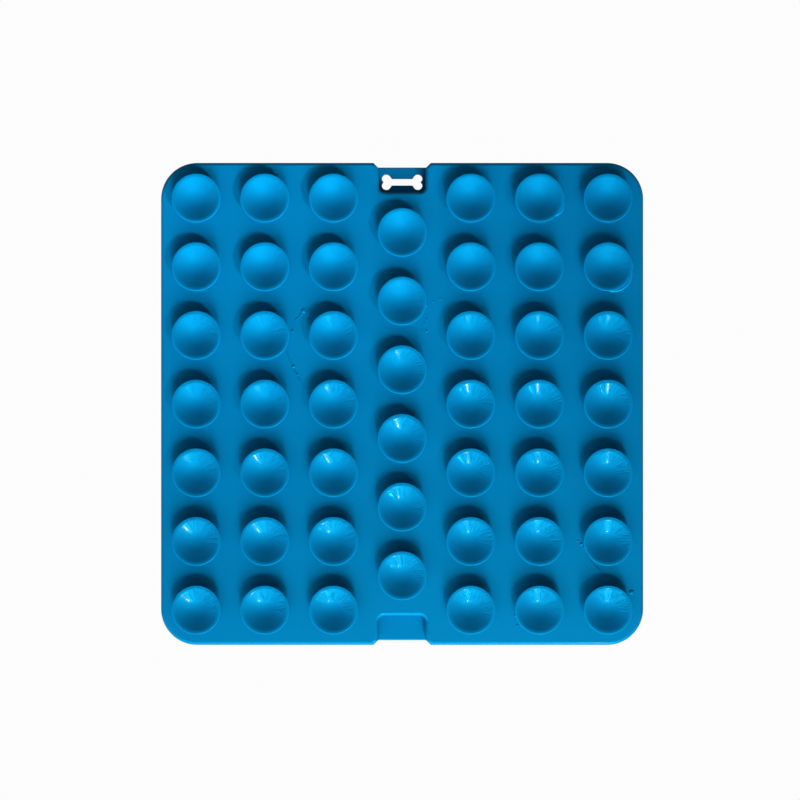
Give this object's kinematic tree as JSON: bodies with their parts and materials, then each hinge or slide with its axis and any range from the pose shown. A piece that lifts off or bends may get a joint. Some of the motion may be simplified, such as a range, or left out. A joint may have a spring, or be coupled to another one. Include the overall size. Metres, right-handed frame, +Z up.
{
  "type": "lick mat",
  "caption": "Square silicone lick mat for pets: a tray with ribbed and studded licking fields on one side, rows of suction cups on its back, a finger notch and a bone-shaped hanging hole.",
  "frame": {"origin": "Middle of the plane of the rim that the mat lies on in the picture, face down.", "axes": "+Z up out of the back, the way the suction cups open; +Y towards the edge with the hanging hole; +X right, seen from above with the hanging hole at the top."},
  "size_m": [0.2, 0.2, 0.0126],
  "materials": {
    "silicone": "satin moulded silicone"
  },
  "bodies": {
    "mat": {"back_panel": "silicone", "rim_wall": "silicone", "hang_tab": "silicone", "lift_tab": "silicone", "divider_ribs": "silicone", "stud_field": "silicone", "rib_field": "silicone", "weave_field": "silicone", "slant_field": "silicone"},
    "cup_c1_r1": {"suction_cup_c1_r1": "silicone"},
    "cup_c1_r2": {"suction_cup_c1_r2": "silicone"},
    "cup_c1_r3": {"suction_cup_c1_r3": "silicone"},
    "cup_c1_r4": {"suction_cup_c1_r4": "silicone"},
    "cup_c1_r5": {"suction_cup_c1_r5": "silicone"},
    "cup_c1_r6": {"suction_cup_c1_r6": "silicone"},
    "cup_c1_r7": {"suction_cup_c1_r7": "silicone"},
    "cup_c2_r1": {"suction_cup_c2_r1": "silicone"},
    "cup_c2_r2": {"suction_cup_c2_r2": "silicone"},
    "cup_c2_r3": {"suction_cup_c2_r3": "silicone"},
    "cup_c2_r4": {"suction_cup_c2_r4": "silicone"},
    "cup_c2_r5": {"suction_cup_c2_r5": "silicone"},
    "cup_c2_r6": {"suction_cup_c2_r6": "silicone"},
    "cup_c2_r7": {"suction_cup_c2_r7": "silicone"},
    "cup_c3_r1": {"suction_cup_c3_r1": "silicone"},
    "cup_c3_r2": {"suction_cup_c3_r2": "silicone"},
    "cup_c3_r3": {"suction_cup_c3_r3": "silicone"},
    "cup_c3_r4": {"suction_cup_c3_r4": "silicone"},
    "cup_c3_r5": {"suction_cup_c3_r5": "silicone"},
    "cup_c3_r6": {"suction_cup_c3_r6": "silicone"},
    "cup_c3_r7": {"suction_cup_c3_r7": "silicone"},
    "cup_c4_r1": {"suction_cup_c4_r1": "silicone"},
    "cup_c4_r2": {"suction_cup_c4_r2": "silicone"},
    "cup_c4_r3": {"suction_cup_c4_r3": "silicone"},
    "cup_c4_r4": {"suction_cup_c4_r4": "silicone"},
    "cup_c4_r5": {"suction_cup_c4_r5": "silicone"},
    "cup_c4_r6": {"suction_cup_c4_r6": "silicone"},
    "cup_c5_r1": {"suction_cup_c5_r1": "silicone"},
    "cup_c5_r2": {"suction_cup_c5_r2": "silicone"},
    "cup_c5_r3": {"suction_cup_c5_r3": "silicone"},
    "cup_c5_r4": {"suction_cup_c5_r4": "silicone"},
    "cup_c5_r5": {"suction_cup_c5_r5": "silicone"},
    "cup_c5_r6": {"suction_cup_c5_r6": "silicone"},
    "cup_c5_r7": {"suction_cup_c5_r7": "silicone"},
    "cup_c6_r1": {"suction_cup_c6_r1": "silicone"},
    "cup_c6_r2": {"suction_cup_c6_r2": "silicone"},
    "cup_c6_r3": {"suction_cup_c6_r3": "silicone"},
    "cup_c6_r4": {"suction_cup_c6_r4": "silicone"},
    "cup_c6_r5": {"suction_cup_c6_r5": "silicone"},
    "cup_c6_r6": {"suction_cup_c6_r6": "silicone"},
    "cup_c6_r7": {"suction_cup_c6_r7": "silicone"},
    "cup_c7_r1": {"suction_cup_c7_r1": "silicone"},
    "cup_c7_r2": {"suction_cup_c7_r2": "silicone"},
    "cup_c7_r3": {"suction_cup_c7_r3": "silicone"},
    "cup_c7_r4": {"suction_cup_c7_r4": "silicone"},
    "cup_c7_r5": {"suction_cup_c7_r5": "silicone"},
    "cup_c7_r6": {"suction_cup_c7_r6": "silicone"},
    "cup_c7_r7": {"suction_cup_c7_r7": "silicone"}
  },
  "joints": [
    {"name": "press_c1_r1", "type": "slide", "parent": "mat", "child": "cup_c1_r1", "axis": [0, 0, -1], "range_m": [0, 0.003], "stiffness_N_per_m": 1200, "deforming": ["suction_cup_c1_r1"]},
    {"name": "press_c1_r2", "type": "slide", "parent": "mat", "child": "cup_c1_r2", "axis": [0, 0, -1], "range_m": [0, 0.003], "stiffness_N_per_m": 1200, "deforming": ["suction_cup_c1_r2"]},
    {"name": "press_c1_r3", "type": "slide", "parent": "mat", "child": "cup_c1_r3", "axis": [0, 0, -1], "range_m": [0, 0.003], "stiffness_N_per_m": 1200, "deforming": ["suction_cup_c1_r3"]},
    {"name": "press_c1_r4", "type": "slide", "parent": "mat", "child": "cup_c1_r4", "axis": [0, 0, -1], "range_m": [0, 0.003], "stiffness_N_per_m": 1200, "deforming": ["suction_cup_c1_r4"]},
    {"name": "press_c1_r5", "type": "slide", "parent": "mat", "child": "cup_c1_r5", "axis": [0, 0, -1], "range_m": [0, 0.003], "stiffness_N_per_m": 1200, "deforming": ["suction_cup_c1_r5"]},
    {"name": "press_c1_r6", "type": "slide", "parent": "mat", "child": "cup_c1_r6", "axis": [0, 0, -1], "range_m": [0, 0.003], "stiffness_N_per_m": 1200, "deforming": ["suction_cup_c1_r6"]},
    {"name": "press_c1_r7", "type": "slide", "parent": "mat", "child": "cup_c1_r7", "axis": [0, 0, -1], "range_m": [0, 0.003], "stiffness_N_per_m": 1200, "deforming": ["suction_cup_c1_r7"]},
    {"name": "press_c2_r1", "type": "slide", "parent": "mat", "child": "cup_c2_r1", "axis": [0, 0, -1], "range_m": [0, 0.003], "stiffness_N_per_m": 1200, "deforming": ["suction_cup_c2_r1"]},
    {"name": "press_c2_r2", "type": "slide", "parent": "mat", "child": "cup_c2_r2", "axis": [0, 0, -1], "range_m": [0, 0.003], "stiffness_N_per_m": 1200, "deforming": ["suction_cup_c2_r2"]},
    {"name": "press_c2_r3", "type": "slide", "parent": "mat", "child": "cup_c2_r3", "axis": [0, 0, -1], "range_m": [0, 0.003], "stiffness_N_per_m": 1200, "deforming": ["suction_cup_c2_r3"]},
    {"name": "press_c2_r4", "type": "slide", "parent": "mat", "child": "cup_c2_r4", "axis": [0, 0, -1], "range_m": [0, 0.003], "stiffness_N_per_m": 1200, "deforming": ["suction_cup_c2_r4"]},
    {"name": "press_c2_r5", "type": "slide", "parent": "mat", "child": "cup_c2_r5", "axis": [0, 0, -1], "range_m": [0, 0.003], "stiffness_N_per_m": 1200, "deforming": ["suction_cup_c2_r5"]},
    {"name": "press_c2_r6", "type": "slide", "parent": "mat", "child": "cup_c2_r6", "axis": [0, 0, -1], "range_m": [0, 0.003], "stiffness_N_per_m": 1200, "deforming": ["suction_cup_c2_r6"]},
    {"name": "press_c2_r7", "type": "slide", "parent": "mat", "child": "cup_c2_r7", "axis": [0, 0, -1], "range_m": [0, 0.003], "stiffness_N_per_m": 1200, "deforming": ["suction_cup_c2_r7"]},
    {"name": "press_c3_r1", "type": "slide", "parent": "mat", "child": "cup_c3_r1", "axis": [0, 0, -1], "range_m": [0, 0.003], "stiffness_N_per_m": 1200, "deforming": ["suction_cup_c3_r1"]},
    {"name": "press_c3_r2", "type": "slide", "parent": "mat", "child": "cup_c3_r2", "axis": [0, 0, -1], "range_m": [0, 0.003], "stiffness_N_per_m": 1200, "deforming": ["suction_cup_c3_r2"]},
    {"name": "press_c3_r3", "type": "slide", "parent": "mat", "child": "cup_c3_r3", "axis": [0, 0, -1], "range_m": [0, 0.003], "stiffness_N_per_m": 1200, "deforming": ["suction_cup_c3_r3"]},
    {"name": "press_c3_r4", "type": "slide", "parent": "mat", "child": "cup_c3_r4", "axis": [0, 0, -1], "range_m": [0, 0.003], "stiffness_N_per_m": 1200, "deforming": ["suction_cup_c3_r4"]},
    {"name": "press_c3_r5", "type": "slide", "parent": "mat", "child": "cup_c3_r5", "axis": [0, 0, -1], "range_m": [0, 0.003], "stiffness_N_per_m": 1200, "deforming": ["suction_cup_c3_r5"]},
    {"name": "press_c3_r6", "type": "slide", "parent": "mat", "child": "cup_c3_r6", "axis": [0, 0, -1], "range_m": [0, 0.003], "stiffness_N_per_m": 1200, "deforming": ["suction_cup_c3_r6"]},
    {"name": "press_c3_r7", "type": "slide", "parent": "mat", "child": "cup_c3_r7", "axis": [0, 0, -1], "range_m": [0, 0.003], "stiffness_N_per_m": 1200, "deforming": ["suction_cup_c3_r7"]},
    {"name": "press_c4_r1", "type": "slide", "parent": "mat", "child": "cup_c4_r1", "axis": [0, 0, -1], "range_m": [0, 0.003], "stiffness_N_per_m": 1200, "deforming": ["suction_cup_c4_r1"]},
    {"name": "press_c4_r2", "type": "slide", "parent": "mat", "child": "cup_c4_r2", "axis": [0, 0, -1], "range_m": [0, 0.003], "stiffness_N_per_m": 1200, "deforming": ["suction_cup_c4_r2"]},
    {"name": "press_c4_r3", "type": "slide", "parent": "mat", "child": "cup_c4_r3", "axis": [0, 0, -1], "range_m": [0, 0.003], "stiffness_N_per_m": 1200, "deforming": ["suction_cup_c4_r3"]},
    {"name": "press_c4_r4", "type": "slide", "parent": "mat", "child": "cup_c4_r4", "axis": [0, 0, -1], "range_m": [0, 0.003], "stiffness_N_per_m": 1200, "deforming": ["suction_cup_c4_r4"]},
    {"name": "press_c4_r5", "type": "slide", "parent": "mat", "child": "cup_c4_r5", "axis": [0, 0, -1], "range_m": [0, 0.003], "stiffness_N_per_m": 1200, "deforming": ["suction_cup_c4_r5"]},
    {"name": "press_c4_r6", "type": "slide", "parent": "mat", "child": "cup_c4_r6", "axis": [0, 0, -1], "range_m": [0, 0.003], "stiffness_N_per_m": 1200, "deforming": ["suction_cup_c4_r6"]},
    {"name": "press_c5_r1", "type": "slide", "parent": "mat", "child": "cup_c5_r1", "axis": [0, 0, -1], "range_m": [0, 0.003], "stiffness_N_per_m": 1200, "deforming": ["suction_cup_c5_r1"]},
    {"name": "press_c5_r2", "type": "slide", "parent": "mat", "child": "cup_c5_r2", "axis": [0, 0, -1], "range_m": [0, 0.003], "stiffness_N_per_m": 1200, "deforming": ["suction_cup_c5_r2"]},
    {"name": "press_c5_r3", "type": "slide", "parent": "mat", "child": "cup_c5_r3", "axis": [0, 0, -1], "range_m": [0, 0.003], "stiffness_N_per_m": 1200, "deforming": ["suction_cup_c5_r3"]},
    {"name": "press_c5_r4", "type": "slide", "parent": "mat", "child": "cup_c5_r4", "axis": [0, 0, -1], "range_m": [0, 0.003], "stiffness_N_per_m": 1200, "deforming": ["suction_cup_c5_r4"]},
    {"name": "press_c5_r5", "type": "slide", "parent": "mat", "child": "cup_c5_r5", "axis": [0, 0, -1], "range_m": [0, 0.003], "stiffness_N_per_m": 1200, "deforming": ["suction_cup_c5_r5"]},
    {"name": "press_c5_r6", "type": "slide", "parent": "mat", "child": "cup_c5_r6", "axis": [0, 0, -1], "range_m": [0, 0.003], "stiffness_N_per_m": 1200, "deforming": ["suction_cup_c5_r6"]},
    {"name": "press_c5_r7", "type": "slide", "parent": "mat", "child": "cup_c5_r7", "axis": [0, 0, -1], "range_m": [0, 0.003], "stiffness_N_per_m": 1200, "deforming": ["suction_cup_c5_r7"]},
    {"name": "press_c6_r1", "type": "slide", "parent": "mat", "child": "cup_c6_r1", "axis": [0, 0, -1], "range_m": [0, 0.003], "stiffness_N_per_m": 1200, "deforming": ["suction_cup_c6_r1"]},
    {"name": "press_c6_r2", "type": "slide", "parent": "mat", "child": "cup_c6_r2", "axis": [0, 0, -1], "range_m": [0, 0.003], "stiffness_N_per_m": 1200, "deforming": ["suction_cup_c6_r2"]},
    {"name": "press_c6_r3", "type": "slide", "parent": "mat", "child": "cup_c6_r3", "axis": [0, 0, -1], "range_m": [0, 0.003], "stiffness_N_per_m": 1200, "deforming": ["suction_cup_c6_r3"]},
    {"name": "press_c6_r4", "type": "slide", "parent": "mat", "child": "cup_c6_r4", "axis": [0, 0, -1], "range_m": [0, 0.003], "stiffness_N_per_m": 1200, "deforming": ["suction_cup_c6_r4"]},
    {"name": "press_c6_r5", "type": "slide", "parent": "mat", "child": "cup_c6_r5", "axis": [0, 0, -1], "range_m": [0, 0.003], "stiffness_N_per_m": 1200, "deforming": ["suction_cup_c6_r5"]},
    {"name": "press_c6_r6", "type": "slide", "parent": "mat", "child": "cup_c6_r6", "axis": [0, 0, -1], "range_m": [0, 0.003], "stiffness_N_per_m": 1200, "deforming": ["suction_cup_c6_r6"]},
    {"name": "press_c6_r7", "type": "slide", "parent": "mat", "child": "cup_c6_r7", "axis": [0, 0, -1], "range_m": [0, 0.003], "stiffness_N_per_m": 1200, "deforming": ["suction_cup_c6_r7"]},
    {"name": "press_c7_r1", "type": "slide", "parent": "mat", "child": "cup_c7_r1", "axis": [0, 0, -1], "range_m": [0, 0.003], "stiffness_N_per_m": 1200, "deforming": ["suction_cup_c7_r1"]},
    {"name": "press_c7_r2", "type": "slide", "parent": "mat", "child": "cup_c7_r2", "axis": [0, 0, -1], "range_m": [0, 0.003], "stiffness_N_per_m": 1200, "deforming": ["suction_cup_c7_r2"]},
    {"name": "press_c7_r3", "type": "slide", "parent": "mat", "child": "cup_c7_r3", "axis": [0, 0, -1], "range_m": [0, 0.003], "stiffness_N_per_m": 1200, "deforming": ["suction_cup_c7_r3"]},
    {"name": "press_c7_r4", "type": "slide", "parent": "mat", "child": "cup_c7_r4", "axis": [0, 0, -1], "range_m": [0, 0.003], "stiffness_N_per_m": 1200, "deforming": ["suction_cup_c7_r4"]},
    {"name": "press_c7_r5", "type": "slide", "parent": "mat", "child": "cup_c7_r5", "axis": [0, 0, -1], "range_m": [0, 0.003], "stiffness_N_per_m": 1200, "deforming": ["suction_cup_c7_r5"]},
    {"name": "press_c7_r6", "type": "slide", "parent": "mat", "child": "cup_c7_r6", "axis": [0, 0, -1], "range_m": [0, 0.003], "stiffness_N_per_m": 1200, "deforming": ["suction_cup_c7_r6"]},
    {"name": "press_c7_r7", "type": "slide", "parent": "mat", "child": "cup_c7_r7", "axis": [0, 0, -1], "range_m": [0, 0.003], "stiffness_N_per_m": 1200, "deforming": ["suction_cup_c7_r7"]}
  ]
}
